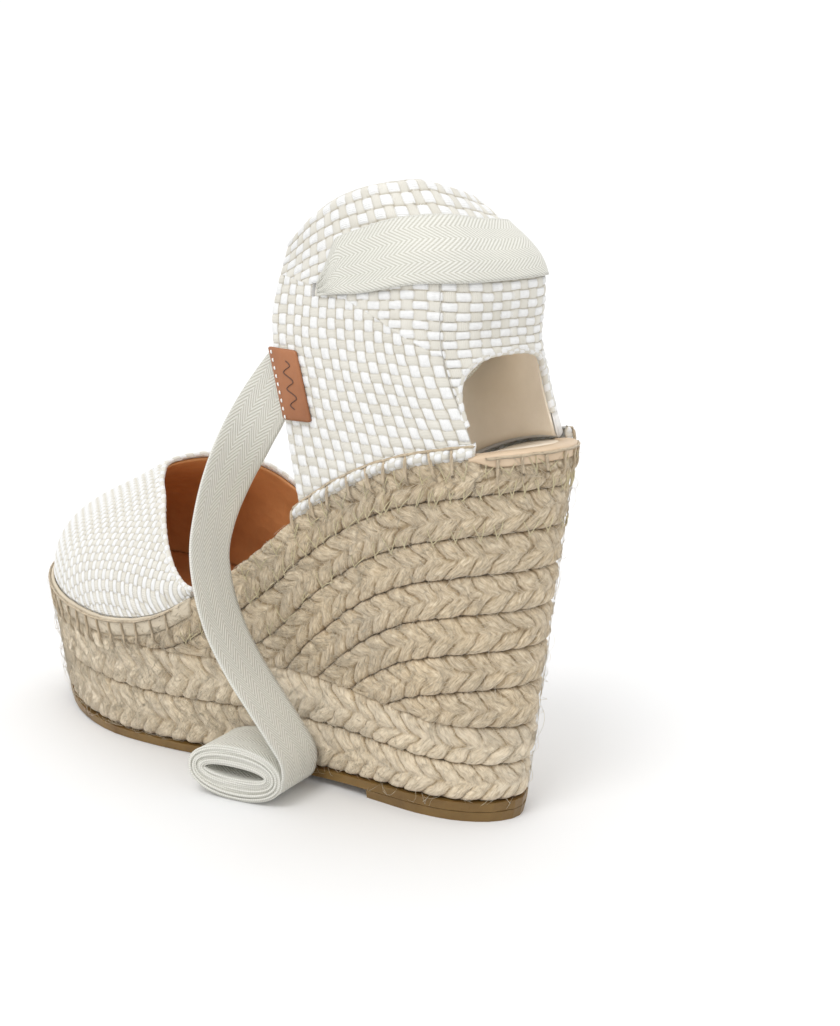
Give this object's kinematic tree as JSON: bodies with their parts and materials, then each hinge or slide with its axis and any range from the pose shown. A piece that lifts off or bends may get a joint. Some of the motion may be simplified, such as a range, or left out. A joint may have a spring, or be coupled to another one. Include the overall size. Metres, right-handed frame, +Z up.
{
  "type": "wedge sandal",
  "caption": "Wedge sandal with braided jute platform, closed woven toe cap, woven ankle cuff with arched heel opening, and long tape tie; left foot.",
  "frame": {"origin": "centre of the sandal's footprint on the ground, tape left out", "axes": "+Z up, +Y from toe to heel, +X to the outer side of the left foot"},
  "size_m": [0.1037, 0.233, 0.1904],
  "materials": {
    "jute": "coarse braided plant fibre, hairy",
    "rubber": "smooth, slightly shiny amber brown",
    "cork": "matte board and core",
    "foam": "matte foam",
    "tan_leather": "smooth tan leather",
    "brown_leather": "smooth brown leather",
    "woven": "glossy white and cream basket weave",
    "beige_lining": "soft beige lining leather",
    "tape": "matte herringbone cotton tape",
    "rand": "smooth matte edge strip",
    "label": "blank smooth leather",
    "thread": "twisted jute thread"
  },
  "bodies": {
    "root": {"cuff_lining": "beige_lining", "cuff_outer": "woven", "edge_braid": "jute", "fan_braid_1": "jute", "fan_braid_2": "jute", "fan_braid_3": "jute", "fan_braid_4": "jute", "fan_braid_5": "jute", "fan_braid_6": "jute", "heel_lift": "rubber", "heel_strip": "tan_leather", "heel_strip_stitching": "thread", "insole_board": "cork", "insole_foam": "foam", "lateral_quarter_stitching": "thread", "medial_quarter_stitching": "thread", "outsole": "rubber", "platform_braid_1": "jute", "platform_braid_2": "jute", "ribbon_back": "tape", "ribbon_lateral_fall": "tape", "ribbon_lateral_roll": "tape", "ribbon_medial_fall": "tape", "ribbon_medial_roll": "tape", "side_label": "label", "sock_lining": "beige_lining", "toe_cap_lining": "brown_leather", "toe_cap_outer": "woven", "toe_rand": "rand", "toe_stitching": "thread", "wedge_core": "cork"}
  },
  "joints": []
}
